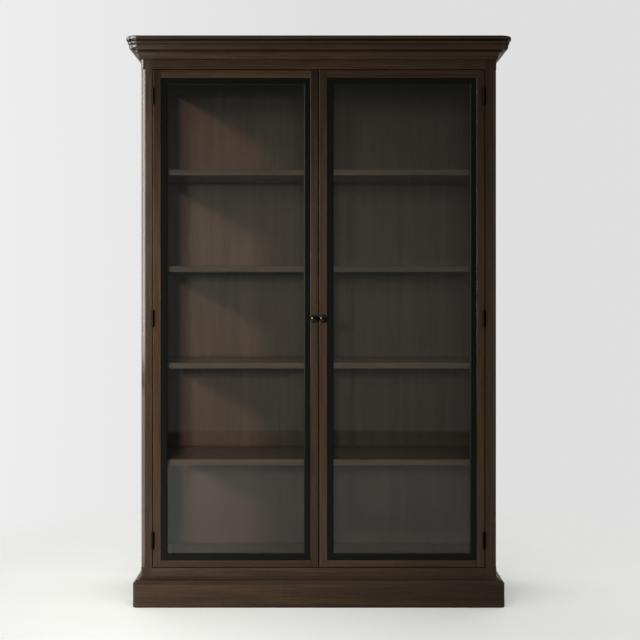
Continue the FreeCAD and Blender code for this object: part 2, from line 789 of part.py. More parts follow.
def make_stops_and_catches():
    """Stops under the ceiling behind the doors, and a magnetic catch for each door."""
    catch_end = -catch_inset - catch_length
    catch_y = door_back_y + strike_thickness + catch_gap
    stop_y = door_back_y + stop_gap
    place_pair("door_stop", block(-opening_half, catch_end, stop_y, stop_y + stop_depth,
                                  ceiling_z - stop_height, ceiling_z))
    place_group("door_catches", [block(catch_end, -catch_inset, catch_y, catch_y + catch_depth,
                                       ceiling_z - catch_height, ceiling_z)])
    strike_x = -catch_inset - catch_length * half
    strike_z = door_z1 - stile_width * half
    place_door_pair("strike", block(strike_x - strike_length * half, strike_x + strike_length * half,
                                    door_back_y, door_back_y + strike_thickness,
                                    strike_z - strike_height * half, strike_z + strike_height * half))


make_front_posts()
make_rear_posts()
make_side_rails()
make_side_panels()
make_front_rails()
make_back_rails()
make_inside_boards()
make_back_panel()
make_dust_board()
make_cornice()
make_plinth()
make_shelves()
make_hinges()
make_door_wood()
make_metal_frame()
make_glazing()
make_knobs()
make_stops_and_catches()

os.makedirs("parts", exist_ok=True)
for name, shape in nodes.items():
    shape.exportStep("parts/" + name + ".step")
print(len(nodes), "nodes")
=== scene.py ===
# %% [markdown]
# # A glazed bookcase in dark stained oak
# The case stands as a finished model of separate boards, doors, hinges and panes. This lesson
# gives each of them its finish, adds the soft seals in the gaps of the doors, and sets up a pale
# studio. The frame is loaded first, because every later step asks it where things are.

# %% Load the frame
import json
import math

import bmesh
import bpy
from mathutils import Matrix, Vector


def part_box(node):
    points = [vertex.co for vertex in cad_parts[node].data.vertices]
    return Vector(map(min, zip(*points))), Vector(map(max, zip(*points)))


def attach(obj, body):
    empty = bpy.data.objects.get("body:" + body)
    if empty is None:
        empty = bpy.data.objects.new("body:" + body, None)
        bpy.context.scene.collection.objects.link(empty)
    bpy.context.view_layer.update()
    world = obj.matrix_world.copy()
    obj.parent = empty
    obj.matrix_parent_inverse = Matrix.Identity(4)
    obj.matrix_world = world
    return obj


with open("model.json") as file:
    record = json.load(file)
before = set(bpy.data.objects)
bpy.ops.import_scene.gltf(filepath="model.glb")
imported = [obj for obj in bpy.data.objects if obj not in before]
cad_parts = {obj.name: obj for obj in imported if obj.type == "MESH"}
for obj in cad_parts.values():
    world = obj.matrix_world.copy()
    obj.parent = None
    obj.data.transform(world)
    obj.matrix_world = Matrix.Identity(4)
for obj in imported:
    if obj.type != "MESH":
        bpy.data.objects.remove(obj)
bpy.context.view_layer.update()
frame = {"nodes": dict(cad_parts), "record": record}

MM = 0.001

# %% [markdown]
# Two helpers serve every finish. Colours are written as a painter would note them, in sRGB hex,
# and one function turns them to the linear values that the shader works with. The other adds a
# node: a setting is an attribute of the node, and an entry of the inputs is a value or a link.

# %% Colour and node helpers


def to_linear(code):
    """Linear RGBA of an sRGB hex colour."""
    channels = [int(code[i:i + 2], 16) / 255 for i in (1, 3, 5)]
    linear = [c / 12.92 if c <= 0.04045 else ((c + 0.055) / 1.055) ** 2.4 for c in channels]
    return (*linear, 1.0)


def add(tree, kind, inputs=None, **settings):
    """A new node of a kind, with its settings and its inputs, each a value or a socket to link."""
    made = tree.nodes.new(kind)
    for name, value in settings.items():
        setattr(made, name, value)
    for name, value in (inputs or {}).items():
        if isinstance(value, bpy.types.NodeSocket):
            tree.links.new(value, made.inputs[name])
        else:
            made.inputs[name].default_value = value
    return made


def new_finish(name):
    """An empty material and its tree, with the output node."""
    finish = bpy.data.materials.new(name)
    finish.use_nodes = True
    finish.node_tree.nodes.clear()
    return finish, finish.node_tree, add(finish.node_tree, "ShaderNodeOutputMaterial")


print("white in linear:", to_linear("#ffffff")[:3])

# %% [markdown]
# The photograph is a straight front view with upright verticals, so the camera is level and looks
# along +Y. Its eye height and distance follow from how much of each shelf shows from above or
# below, and a small lens shift puts the case where the picture has it, without tilting the camera.

# %% Camera
EYE_HEIGHT = 1.222
EYE_DISTANCE = 4.1           # from the eye to the front of the case
SENSOR_WIDTH = 36            # mm, and the lens too
LENS = 59.75
LENS_SHIFT = (0.002, -0.0484)
FRONT_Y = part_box("frieze_rail")[0].y

camera_data = bpy.data.cameras.new("front camera")
camera_data.sensor_width = SENSOR_WIDTH
camera_data.lens = LENS
camera_data.shift_x, camera_data.shift_y = LENS_SHIFT
camera = bpy.data.objects.new("front camera", camera_data)
camera.location = (0, FRONT_Y - EYE_DISTANCE, EYE_HEIGHT)
camera.rotation_euler = (math.pi / 2, 0, 0)
bpy.context.scene.collection.objects.link(camera)
bpy.context.scene.camera = camera
bpy.context.scene.view_settings.view_transform = "Standard"
print("camera at", tuple(round(c, 3) for c in camera.location))

# %% [markdown]
# The case is oak, stained dark brown and sprayed with semi-gloss lacquer. Stain sinks into the open
# pores and leaves them darkest, so the eye reads fine dark dashes along the grain and softer streaks
# of early and late wood. Inner corners are darkened as well, by how closed in they are: that is
# painted shade, which gives the dark line beside each moulding. A picture of wood would repeat, so
# the grain is noise drawn out along the board, and each board takes its own piece of it.

# %% Stained oak
STREAK_WIDTH = 4 * MM        # real fibres are finer: drawn coarser so that they show at this size
STREAK_LENGTH = 150 * MM
FIGURE_WIDTH = 42 * MM       # one flame of early and late wood
FIGURE_LENGTH = 900 * MM
PORE_WIDTH = 1.6 * MM        # oak pores are about 0.3 mm wide: drawn coarser so that they show
PORE_LENGTH = 26 * MM
PORE_DEPTH = 0.38            # share of the colour that an open pore takes away
STREAK_SPAN = (0.34, 0.66)   # noise values between which the wood goes from shade to light
PORE_SPAN = (0.58, 0.68)     # and between which a pore opens
FIGURE_SHARE = 0.45          # of the figure against the streaks
CORNER_SHADE_REACH = 16 * MM            # how far out of an inner corner the painted shade reaches
CORNER_SHADE_TONE = 0.50          # and what the painted shade leaves of the colour in the corner itself
CORNER_SHADE_SPAN = (0.45, 0.9)   # how open the corner is where the painted shade is deepest, and where it ends
FULL_TONE_SPAN = (0.6, 0.9)       # how squarely a face looks the full-tone way to keep full tone; others take the painted side tone
BOARD_SHIFT = (3.1, 5.3, 7.7)
LACQUER_GLOSS = (0.13, 0.22)    # roughness of semi-gloss lacquer, rougher on the light streaks
LACQUER_SPECULAR = 0.2       # thin lacquer over stain gleams less than a clear coat
GRAIN_RELIEF = 0.3 * MM


def drawn_out(tree, place, axis, width, length):
    """Coordinates squeezed across the grain and drawn out along it."""
    scale = [1 / width] * 3
    scale[axis] = 1 / length
    return add(tree, "ShaderNodeVectorMath", {0: place, 1: scale}, operation="MULTIPLY").outputs[0]


def stained_oak(kind, axis, colours, contrast, full_tone_side=(0, -1, 0), painted_side_tone=1.0, corner_shade=CORNER_SHADE_TONE):
    """Stained, lacquered oak, grain along one axis, with painted shade in inner corners and a painted
    tone on faces turned from the full-tone side.
    """
    finish, tree, output = new_finish(f"stained {kind}, semi-gloss lacquer, grain {'xyz'[axis]}")
    place = add(tree, "ShaderNodeTexCoord").outputs["Object"]
    board = add(tree, "ShaderNodeObjectInfo")
    shift = add(tree, "ShaderNodeVectorMath", {0: BOARD_SHIFT, "Scale": board.outputs["Random"]},
                operation="SCALE")
    moved = add(tree, "ShaderNodeVectorMath", {0: place, 1: shift.outputs[0]}, operation="ADD")
    place = moved.outputs[0]
    streak = add(tree, "ShaderNodeTexNoise", {
        "Vector": drawn_out(tree, place, axis, STREAK_WIDTH, STREAK_LENGTH),
        "Scale": 1.0, "Detail": 4.0, "Roughness": 0.62}).outputs[0]
    figure = add(tree, "ShaderNodeTexNoise", {
        "Vector": drawn_out(tree, place, axis, FIGURE_WIDTH, FIGURE_LENGTH),
        "Scale": 1.0, "Detail": 2.0, "Distortion": 0.7}).outputs[0]
    pore = add(tree, "ShaderNodeTexNoise", {
        "Vector": drawn_out(tree, place, axis, PORE_WIDTH, PORE_LENGTH),
        "Scale": 1.0, "Detail": 2.0}).outputs[0]
    blend = add(tree, "ShaderNodeMix", {0: FIGURE_SHARE, 2: streak, 3: figure})
    tone = add(tree, "ShaderNodeMapRange", {
        "Value": blend.outputs[0], "From Min": STREAK_SPAN[0], "From Max": STREAK_SPAN[1],
        "To Min": 0.5 - contrast / 2, "To Max": 0.5 + contrast / 2})
    ramp = add(tree, "ShaderNodeValToRGB", {0: tone.outputs[0]})
    shade, middle, light = (to_linear(colour) for colour in colours)
    ramp.color_ramp.elements[0].color = shade
    ramp.color_ramp.elements[1].color = light
    ramp.color_ramp.elements.new(0.5).color = middle
    open_pore = add(tree, "ShaderNodeMapRange", {
        "Value": pore, "From Min": PORE_SPAN[0], "From Max": PORE_SPAN[1],
        "To Min": 1.0, "To Max": 1.0 - PORE_DEPTH * contrast})
    # painted light and shade: faces turned from the full-tone side take another tone
    facing = add(tree, "ShaderNodeVectorMath", {
        0: add(tree, "ShaderNodeNewGeometry").outputs["Normal"], 1: full_tone_side}, operation="DOT_PRODUCT")
    level = add(tree, "ShaderNodeMapRange", {
        "Value": facing.outputs["Value"], "From Min": FULL_TONE_SPAN[0], "From Max": FULL_TONE_SPAN[1],
        "To Min": painted_side_tone, "To Max": 1.0})
    # painted shade: inner corners darken by how closed in they are, as shade would fall there
    corner = add(tree, "ShaderNodeAmbientOcclusion", {"Distance": CORNER_SHADE_REACH}, samples=6)
    painted_corner_shade = add(tree, "ShaderNodeMapRange", {
        "Value": corner.outputs["AO"], "From Min": CORNER_SHADE_SPAN[0], "From Max": CORNER_SHADE_SPAN[1],
        "To Min": corner_shade})
    # the board's tone, partly its own stain and partly painted light and shade, then pores and
    # painted shade
    stain_and_shade = board.outputs["Alpha"]
    for share in (open_pore, level, painted_corner_shade):
        product = add(tree, "ShaderNodeMath", {0: share.outputs[0], 1: stain_and_shade}, operation="MULTIPLY")
        stain_and_shade = product.outputs[0]
    colour = add(tree, "ShaderNodeVectorMath", {0: ramp.outputs[0], "Scale": stain_and_shade},
                 operation="SCALE")
    gloss = add(tree, "ShaderNodeMapRange", {
        "Value": streak, "To Min": LACQUER_GLOSS[0], "To Max": LACQUER_GLOSS[1]})
    grain = add(tree, "ShaderNodeMath", {0: streak, 1: open_pore.outputs[0]}, operation="ADD")
    relief = add(tree, "ShaderNodeBump", {
        "Height": grain.outputs[0], "Strength": 0.12, "Distance": GRAIN_RELIEF})
    lacquer = add(tree, "ShaderNodeBsdfPrincipled", {
        "Base Color": colour.outputs[0], "Roughness": gloss.outputs[0], "IOR": 1.5,
        "Specular IOR Level": LACQUER_SPECULAR, "Normal": relief.outputs[0]})
    tree.links.new(lacquer.outputs[0], output.inputs[0])
    return finish


print("a streak of grain is", STREAK_WIDTH / MM, "mm wide and", STREAK_LENGTH / MM, "mm long")

# %% [markdown]
# Not every board is stained alike. Solid boards show strong grain and veneered panels a calmer one.
# The back and the shelves took a greyer, paler stain. The side panels are painted darker on their
# inner faces and the plinth on the upper side of its moulding, for the shade that falls there, and
# the shelves are painted lighter on their tops. The two rails beside mouldings take the deepest
# painted shade in their corners. Each of these is the same finish with other values.

# %% Oak for each kind of board
OUTSIDE = ("#3a2b22", "#4d3b2c", "#604b38")    # shade, middle and light of the stained boards
INSIDE = ("#342b26", "#443a34", "#524740")     # the same of the back
SHELF = ("#362c27", "#473c35", "#564941")      # and of the shelves
SOLID_GRAIN = 0.8            # contrast of the grain
SHELF_GRAIN = 0.6
VENEER_GRAIN = 0.4
SHELVES = ["shelf_1", "shelf_2", "shelf_3", "shelf_4"]

X, Y, Z = range(3)
LEFT, RIGHT = (-1, 0, 0), (1, 0, 0)
oak = [stained_oak("solid oak", axis, OUTSIDE, SOLID_GRAIN) for axis in (X, Y, Z)]
veneer = [stained_oak("oak veneer", axis, OUTSIDE, VENEER_GRAIN) for axis in (X, Y, Z)]
back_oak = stained_oak("oak back veneer", Z, INSIDE, VENEER_GRAIN)
# the side tone is painted shade on inner faces and the plinth moulding, painted light on shelf tops
left_oak = stained_oak("oak left side veneer", Z, OUTSIDE, VENEER_GRAIN, LEFT, painted_side_tone=0.80)
right_oak = stained_oak("oak right side veneer", Z, OUTSIDE, VENEER_GRAIN, RIGHT, painted_side_tone=0.42)
shelf_oak = stained_oak("oak shelf board", X, SHELF, SHELF_GRAIN, painted_side_tone=1.1)
rail_oak = stained_oak("oak rail beside a moulding", X, OUTSIDE, SOLID_GRAIN, corner_shade=0.10)
plinth_oak = stained_oak("oak plinth", X, OUTSIDE, SOLID_GRAIN, painted_side_tone=0.75)
cornice_oak = stained_oak("oak cornice", X, OUTSIDE, SOLID_GRAIN, corner_shade=0.65)
own_finishes = {
    "back_panel": back_oak, "left_side_panel": left_oak, "right_side_panel": right_oak,
    "frieze_rail": rail_oak, "bottom_rail": rail_oak,
    "plinth_front": plinth_oak, "cornice_front": cornice_oak,
    **{shelf: shelf_oak for shelf in SHELVES},
}
print("boards with a finish of their own:", len(own_finishes))

# %% [markdown]
# The glazing frames are welded steel angle under black powder coat. Powder flows out to a satin
# skin with a faint orange peel, which breaks up reflections without hiding the bevel.

# %% Powder-coated steel
PEEL_SIZE = 2.5 * MM         # powder coat peels at about 1 mm: drawn coarser so that it shows
PEEL_RELIEF = 0.2 * MM
COAT_GLOSS = (0.32, 0.42)    # roughness of satin powder coat
COAT_SPECULAR = 0.18         # a coat full of carbon black gleams little


def powder_coat():
    """Satin black powder coat on steel."""
    finish, tree, output = new_finish("black powder coat, satin")
    place = add(tree, "ShaderNodeTexCoord").outputs["Object"]
    peel = add(tree, "ShaderNodeTexNoise", {"Vector": place, "Scale": 1 / PEEL_SIZE, "Detail": 2.0})
    colour = add(tree, "ShaderNodeValToRGB", {0: peel.outputs[0]})
    colour.color_ramp.elements[0].color = to_linear("#0e0e0d")
    colour.color_ramp.elements[1].color = to_linear("#151514")
    gloss = add(tree, "ShaderNodeMapRange", {
        "Value": peel.outputs[0], "To Min": COAT_GLOSS[0], "To Max": COAT_GLOSS[1]})
    relief = add(tree, "ShaderNodeBump", {
        "Height": peel.outputs[0], "Strength": 0.15, "Distance": PEEL_RELIEF})
    coat = add(tree, "ShaderNodeBsdfPrincipled", {
        "Base Color": colour.outputs[0], "Roughness": gloss.outputs[0], "IOR": 1.5,
        "Specular IOR Level": COAT_SPECULAR, "Normal": relief.outputs[0]})
    tree.links.new(coat.outputs[0], output.inputs[0])
    return finish


black_frame = powder_coat()
print("frame finish:", black_frame.name)

# %% [markdown]
# Knobs are brass, darkened to an oil-rubbed bronze. The dark layer is patchy and rubs thin, so the
# metal gleams in places and is near black in others. Hinges are blackened too, but waxed matt. Small
# fittings are zinc-plated steel or black moulded nylon, and the seals of the doors are black mohair.
# All of these are one mottled finish with other values, because each is a plain colour that wanders
# a little over the surface.

# %% Metals and plastic
PATINA_SIZE = 9 * MM
PLATING_GRAIN = 1.5 * MM     # zinc crystals are finer: drawn coarser so that they show
MOULD_GRAIN = 1.2 * MM       # spark-eroded mould texture, drawn coarser so that it shows


def mottled(name, size, dark, light, rough, metallic):
    """A finish whose colour and gloss wander between two values, over patches of a given size."""
    finish, tree, output = new_finish(name)
    place = add(tree, "ShaderNodeTexCoord").outputs["Object"]
    patch = add(tree, "ShaderNodeTexNoise", {"Vector": place, "Scale": 1 / size, "Detail": 4.0})
    colour = add(tree, "ShaderNodeValToRGB", {0: patch.outputs[0]})
    colour.color_ramp.elements[0].position = 0.3
    colour.color_ramp.elements[1].position = 0.7
    colour.color_ramp.elements[0].color = to_linear(dark)
    colour.color_ramp.elements[1].color = to_linear(light)
    gloss = add(tree, "ShaderNodeMapRange", {
        "Value": patch.outputs[0], "To Min": rough[0], "To Max": rough[1]})
    relief = add(tree, "ShaderNodeBump", {
        "Height": patch.outputs[0], "Strength": 0.1, "Distance": 0.1 * MM})
    shader = add(tree, "ShaderNodeBsdfPrincipled", {
        "Base Color": colour.outputs[0], "Roughness": gloss.outputs[0], "Metallic": metallic,
        "Normal": relief.outputs[0]})
    tree.links.new(shader.outputs[0], output.inputs[0])
    return finish


bronze = mottled("oil-rubbed bronze", PATINA_SIZE, "#272623", "#3b3935", (0.20, 0.32), 1.0)
waxed = mottled("blackened brass, waxed matt", PATINA_SIZE, "#0d0d0c", "#171615", (0.48, 0.60), 1.0)
zinc = mottled("zinc-plated steel", PLATING_GRAIN, "#8f9194", "#b9bbbd", (0.28, 0.42), 1.0)
plastic = mottled("black moulded nylon", MOULD_GRAIN, "#141414", "#1e1e1e", (0.5, 0.62), 0.0)
# near-black pile, which also stands for the shade in the door gaps: painted shade
pile = mottled("black mohair pile", MOULD_GRAIN, "#070707", "#101010", (0.9, 1.0), 0.0)
print("small finishes:", bronze.name, waxed.name, zinc.name, plastic.name, pile.name)

# %% [markdown]
# The panes are clear float glass, 4 mm thick. Float glass is flat to the eye and faintly green, so
# the shader is plain transmission with a hint of tint. Shadow rays pass straight through, since a
# refracting pane would otherwise keep the lamps' light out of the case.

# %% Float glass
SMEAR_SIZE = 260 * MM        # of the cloth that wiped the pane
SMEAR_GLOSS = 0.001          # roughness where a smear is thickest


def float_glass():
    """Clear float glass that lets lamp light through."""
    finish, tree, output = new_finish("clear float glass")
    place = add(tree, "ShaderNodeTexCoord").outputs["Object"]
    smear = add(tree, "ShaderNodeTexNoise", {"Vector": place, "Scale": 1 / SMEAR_SIZE, "Detail": 3.0})
    gloss = add(tree, "ShaderNodeMapRange", {
        "Value": smear.outputs[0], "To Min": 0.0, "To Max": SMEAR_GLOSS})
    glass = add(tree, "ShaderNodeBsdfPrincipled", {
        "Base Color": to_linear("#f0f2ed"), "Roughness": gloss.outputs[0], "IOR": 1.52,
        "Transmission Weight": 1.0})
    clear = add(tree, "ShaderNodeBsdfTransparent", {"Color": to_linear("#f3f7f4")})
    shadow = add(tree, "ShaderNodeLightPath").outputs["Is Shadow Ray"]
    either = add(tree, "ShaderNodeMixShader", {0: shadow, 1: glass.outputs[0], 2: clear.outputs[0]})
    tree.links.new(either.outputs[0], output.inputs[0])
    return finish


pane_glass = float_glass()
print("glass:", pane_glass.name)

# %% [markdown]
# Each model piece now gets its finish. The record names a material for every node. Wood asks one
# thing more: the grain follows the longest side of a board, as a joiner would cut it.

# %% Dress the model
FINISHES = {
    "black_metal": black_frame,
    "dark_bronze": bronze,
    "steel": zinc,
    "black_plastic": plastic,
    "clear_glass": pane_glass,
}
VENEERED = {"dust_board", "inside_top_board", "inside_bottom_board"}
BOARD_STAIN_AND_LIGHT_TONES = {              # each board's tone: partly its own stain, partly painted light and shade fitted to its light
    "left_door_top_rail": 1.30, "left_door_hinge_stile": 0.94, "left_door_meeting_stile": 0.79,
    "right_door_meeting_stile": 0.98, "right_door_hinge_stile": 0.97, "right_front_post": 0.92,
    "right_door_bottom_rail": 1.06, "bottom_rail": 1.02, "plinth_front": 0.94, "frieze_rail": 1.05,
    "cornice_front": 1.12, "shelf_1": 1.85, "shelf_2": 1.38, "shelf_3": 1.18, "shelf_4": 1.36,
    "inside_bottom_board": 1.25, "back_panel": 1.12, "left_front_post": 0.82,
    "left_door_bottom_rail": 0.82,
}


def longest_axis(node):
    """Index of the axis along which a node is longest."""
    low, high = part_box(node)
    size = high - low
    return max(range(3), key=lambda axis: size[axis])


for part in frame["record"]["subparts"]:
    name = part["node"]
    slot = part["material_slot"]
    if "hinge" in name and slot == "dark_bronze":
        finish = waxed
    elif slot != "stained_wood":
        finish = FINISHES[slot]
    elif name in own_finishes:
        finish = own_finishes[name]
    else:
        finish = (veneer if name in VENEERED else oak)[longest_axis(name)]
    mesh = frame["nodes"][name].data
    mesh.materials.clear()
    mesh.materials.append(finish)
# each board's tone, part stain and part painted light and shade, rides on the object colour
for name, tone in BOARD_STAIN_AND_LIGHT_TONES.items():
    frame["nodes"][name].color[3] = tone

# %% [markdown]
# The shelves are square-cut boards with their sharp edges sanded off. A small bevel catches a line of
# light along each edge. It is a modifier, so the model underneath stays as it is.

# %% Ease the square edges
EASED_EDGE = 1.2 * MM
SAME_POINT = 0.01 * MM       # corners of the mesh nearer than this are one


def ease_edges(node, width):
    """Small round on the edges of a square-cut board."""
    board = frame["nodes"][node]
    weld = board.modifiers.new("weld", "WELD")
    weld.merge_threshold = SAME_POINT
    bevel = board.modifiers.new("eased edges", "BEVEL")
    bevel.width = width
    bevel.segments = 2
    bevel.limit_method = "ANGLE"
    bevel.harden_normals = True


for shelf in SHELVES:
    ease_edges(shelf, EASED_EDGE)
print("eased:", len(SHELVES), "shelves")

# %% [markdown]
# Where two glazed doors meet, and under them, a strip of mohair pile is pressed into a groove in the
# edge and keeps dust off the books. It fills the gap with black, which stands in for the shade deep
# in the gap: painted shade, so the eye reads one dark line. The strip is drawn as a section, a low
# bulge of pile, and pulled along the edge of the door.

# %% Dust seals of the doors
SEAL_BEHIND_FACE = 9.5 * MM
FOOT_SEAL_BEHIND_FACE = 3.2 * MM
SEAL_WIDTH = 4.4 * MM
SEAL_END_GAP = 6 * MM
SEAL_AIR = 0.2 * MM          # air between the pile and what it faces
PILE_SECTION = (             # each point: how far out, and where across, as shares of the seal
    (0.0, -0.5), (0.55, -0.42), (0.88, -0.22), (1.0, 0.0), (0.88, 0.22), (0.55, 0.42), (0.0, 0.5))


def pile_strip(name, body, start, along, out):
    """Strip of pile on a door's edge: its section, bulging out, pulled along the edge."""
    strip = bmesh.new()
    across = Vector((0, SEAL_WIDTH, 0))
    rings = [[strip.verts.new(end + out * reach + across * side) for reach, side in PILE_SECTION]
             for end in (start, start + along)]
    for i in range(len(PILE_SECTION)):
        j = (i + 1) % len(PILE_SECTION)
        strip.faces.new((rings[0][i], rings[0][j], rings[1][j], rings[1][i]))
    for ring in rings:
        strip.faces.new(ring)
    bmesh.ops.recalc_face_normals(strip, faces=strip.faces)
    mesh = bpy.data.meshes.new(name)
    strip.to_mesh(mesh)
    strip.free()
    mesh.materials.append(pile)
    seal = bpy.data.objects.new(name, mesh)
    bpy.context.scene.collection.objects.link(seal)
    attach(seal, body)
    return seal


seals = []
for side in ("left", "right"):
    low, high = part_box(f"{side}_door_meeting_stile")
    edge = high.x if side == "left" else low.x
    start = Vector((edge, low.y + SEAL_BEHIND_FACE, low.z + SEAL_END_GAP))
    along = Vector((0, 0, high.z - low.z - 2 * SEAL_END_GAP))
    out = Vector((math.copysign(abs(edge) - SEAL_AIR, -edge), 0, 0))
    seals.append(pile_strip(f"{side}_dust_seal", f"{side}_door", start, along, out))

    rail_low, rail_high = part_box(f"{side}_door_bottom_rail")
    gap = rail_low.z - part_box("bottom_rail")[1].z
    start = Vector((rail_low.x + SEAL_END_GAP, low.y + FOOT_SEAL_BEHIND_FACE, rail_low.z))
    along = Vector((rail_high.x - rail_low.x - 2 * SEAL_END_GAP, 0, 0))
    out = Vector((0, 0, SEAL_AIR - gap))
    seals.append(pile_strip(f"{side}_foot_seal", f"{side}_door", start, along, out))
    print(f"{side} seals: gap under the door {gap / MM:.1f} mm")
print("seals:", [seal.name for seal in seals])

# %% [markdown]
# The floor is pale matt paint. Near the case it takes the shadow as any surface would; further out
# it clears away and leaves the backdrop, so that no edge shows from any side. A ray counts as seen
# when it comes straight to the eye or through a pane. For every other ray the floor's colour is
# painted darker, and lighter again towards the window: painted shade and painted light, so the panes
# mirror a dimmer floor.

# %% Floor
FLOOR_REACH = 3.44
FADE_START = 1.0             # how far from the case the floor begins to clear, and where it has
FADE_END = 2.2
BACKGROUND = 0.74            # a plain pale backdrop, where 1 is white
BACKGROUND_BRIGHT = 0.90     # and where it is brightest, towards the window
BACKGROUND_LEFT = 0.40       # slope at which the brightening ends
FLOOR_MOTTLE = 700 * MM
FLOOR_BOUNCE = 0.42          # painted shade: the floor mirrors in the panes at about half its brightness
FLOOR_SUNNY = 0.88           # but painted light brings it nearly to full on the window's side
SUNNY_SIDE = (-0.2, -0.9)    # between these places the mirrored floor grows bright


def seen_by_eye(tree):
    """1 for what the eye sees straight or through a pane, 0 for light on its way to a surface."""
    path = add(tree, "ShaderNodeLightPath").outputs
    turns = add(tree, "ShaderNodeMath", {0: path["Diffuse Depth"], 1: path["Glossy Depth"]})
    direct = add(tree, "ShaderNodeMath", {0: turns.outputs[0], 1: 0.5}, operation="LESS_THAN")
    through = add(tree, "ShaderNodeMath", {0: direct.outputs[0], 1: path["Is Transmission Ray"]},
                  operation="MULTIPLY")
    either = add(tree, "ShaderNodeMath", {0: path["Is Camera Ray"], 1: through.outputs[0]},
                 operation="MAXIMUM")
    return either.outputs[0]


def pale_floor():
    """Matt pale paint that clears away far from the case."""
    finish, tree, output = new_finish("pale matt floor paint")
    place = add(tree, "ShaderNodeTexCoord").outputs["Object"]
    mottle = add(tree, "ShaderNodeTexNoise", {
        "Vector": place, "Scale": 1 / FLOOR_MOTTLE, "Detail": 3.0})
    colour = add(tree, "ShaderNodeValToRGB", {0: mottle.outputs[0]})
    colour.color_ramp.elements[0].color = to_linear("#efefee")
    colour.color_ramp.elements[1].color = to_linear("#f5f5f4")
    seen = seen_by_eye(tree)
    across = add(tree, "ShaderNodeSeparateXYZ", {0: place}).outputs["X"]
    sunny = add(tree, "ShaderNodeMapRange", {
        "Value": across, "From Min": SUNNY_SIDE[0], "From Max": SUNNY_SIDE[1],
        "To Min": FLOOR_BOUNCE, "To Max": FLOOR_SUNNY})
    bounce = add(tree, "ShaderNodeMix", {0: seen, 2: sunny.outputs[0], 3: 1.0})
    shade = add(tree, "ShaderNodeVectorMath", {0: colour.outputs[0], "Scale": bounce.outputs[0]},
                operation="SCALE")
    paint = add(tree, "ShaderNodeBsdfPrincipled", {"Base Color": shade.outputs[0], "Roughness": 0.7})
    away = add(tree, "ShaderNodeVectorMath", {0: place}, operation="LENGTH")
    fade = add(tree, "ShaderNodeMapRange", {
        "Value": away.outputs["Value"], "From Min": FADE_START, "From Max": FADE_END},
        interpolation_type="SMOOTHSTEP")
    share = add(tree, "ShaderNodeMath", {0: fade.outputs[0], 1: seen}, operation="MULTIPLY")
    clear = add(tree, "ShaderNodeBsdfTransparent")
    either = add(tree, "ShaderNodeMixShader", {
        0: share.outputs[0], 1: paint.outputs[0], 2: clear.outputs[0]})
    tree.links.new(either.outputs[0], output.inputs[0])
    return finish


floor_mesh = bpy.data.meshes.new("floor")
sheet = bmesh.new()
bmesh.ops.create_grid(sheet, x_segments=1, y_segments=1, size=FLOOR_REACH)
sheet.to_mesh(floor_mesh)
sheet.free()
floor = bpy.data.objects.new("floor", floor_mesh)
floor_mesh.materials.append(pale_floor())
bpy.context.scene.collection.objects.link(floor)
print("floor reaches", FLOOR_REACH, "m each way")

# %% [markdown]
# The case stands in a pale room. The world gives what the room gives: some sky from above and from
# the left, and in front the far wall, which the panes mirror. It is dim, or the panes would hide the
# shelves, and it darkens towards its foot, so the mirror image ends in a band above the lowest shelf.
# What the eye sees straight on or through a pane is only the pale backdrop.

# %% World
ROOM_LOW = 0.16              # what the panes mirror at eye level and below
ROOM_HIGH = 0.09             # and above it
ROOM_SKIRTING = 0.04         # and along the dark foot of the far wall
SKIRTING_TOP = -0.131        # slope at which the panes mirror its upper edge
SKIRTING_BLUR = 0.002
HIGH_SLOPES = (0.04, 0.20)   # between these slopes the far wall grows dim
SKY_SLOPE = 0.25             # above this slope the sky begins
SKY_UP = 0.5                 # what it gives straight above, and what the left and the back give
SKY_LEFT = 0.20
SKY_BACK = 0.25
ROOM_COLOUR = "#fcfff9"      # pale walls with some green of the garden on them

world = bpy.data.worlds.new("pale room")
bpy.context.scene.world = world
world.use_nodes = True
sky = world.node_tree
sky.nodes.clear()
way = add(sky, "ShaderNodeTexCoord").outputs["Generated"]
rise = add(sky, "ShaderNodeSeparateXYZ", {0: way}).outputs["Z"]
room = add(sky, "ShaderNodeMapRange", {
    "Value": rise, "From Min": HIGH_SLOPES[0], "From Max": HIGH_SLOPES[1],
    "To Min": ROOM_LOW, "To Max": ROOM_HIGH})
foot = add(sky, "ShaderNodeMapRange", {
    "Value": rise, "From Min": SKIRTING_TOP - SKIRTING_BLUR, "From Max": SKIRTING_TOP,
    "To Min": ROOM_SKIRTING, "To Max": ROOM_LOW})
room = add(sky, "ShaderNodeMath", {0: room.outputs[0], 1: foot.outputs[0]}, operation="MINIMUM")
above = add(sky, "ShaderNodeMapRange", {
    "Value": rise, "From Min": SKY_SLOPE, "From Max": 1.0, "To Min": 0.0, "To Max": SKY_UP})
aside = add(sky, "ShaderNodeVectorMath", {0: way, 1: (-SKY_LEFT, SKY_BACK, 0)},
            operation="DOT_PRODUCT")
aside = add(sky, "ShaderNodeMath", {0: aside.outputs["Value"], 1: 0.0}, operation="MAXIMUM")
level = add(sky, "ShaderNodeMath", {0: room.outputs[0], 1: above.outputs[0]}, operation="ADD")
level = add(sky, "ShaderNodeMath", {0: level.outputs[0], 1: aside.outputs[0]}, operation="ADD")
left = add(sky, "ShaderNodeVectorMath", {0: way, 1: (-1, 0, 0)}, operation="DOT_PRODUCT")
backdrop = add(sky, "ShaderNodeMapRange", {
    "Value": left.outputs["Value"], "From Max": BACKGROUND_LEFT,
    "To Min": BACKGROUND, "To Max": BACKGROUND_BRIGHT})
seen = seen_by_eye(sky)
strength = add(sky, "ShaderNodeMix", {0: seen, 2: level.outputs[0], 3: backdrop.outputs[0]})
tint = add(sky, "ShaderNodeMix", {0: seen, 6: to_linear(ROOM_COLOUR), 7: to_linear("#ffffff")},
           data_type="RGBA")
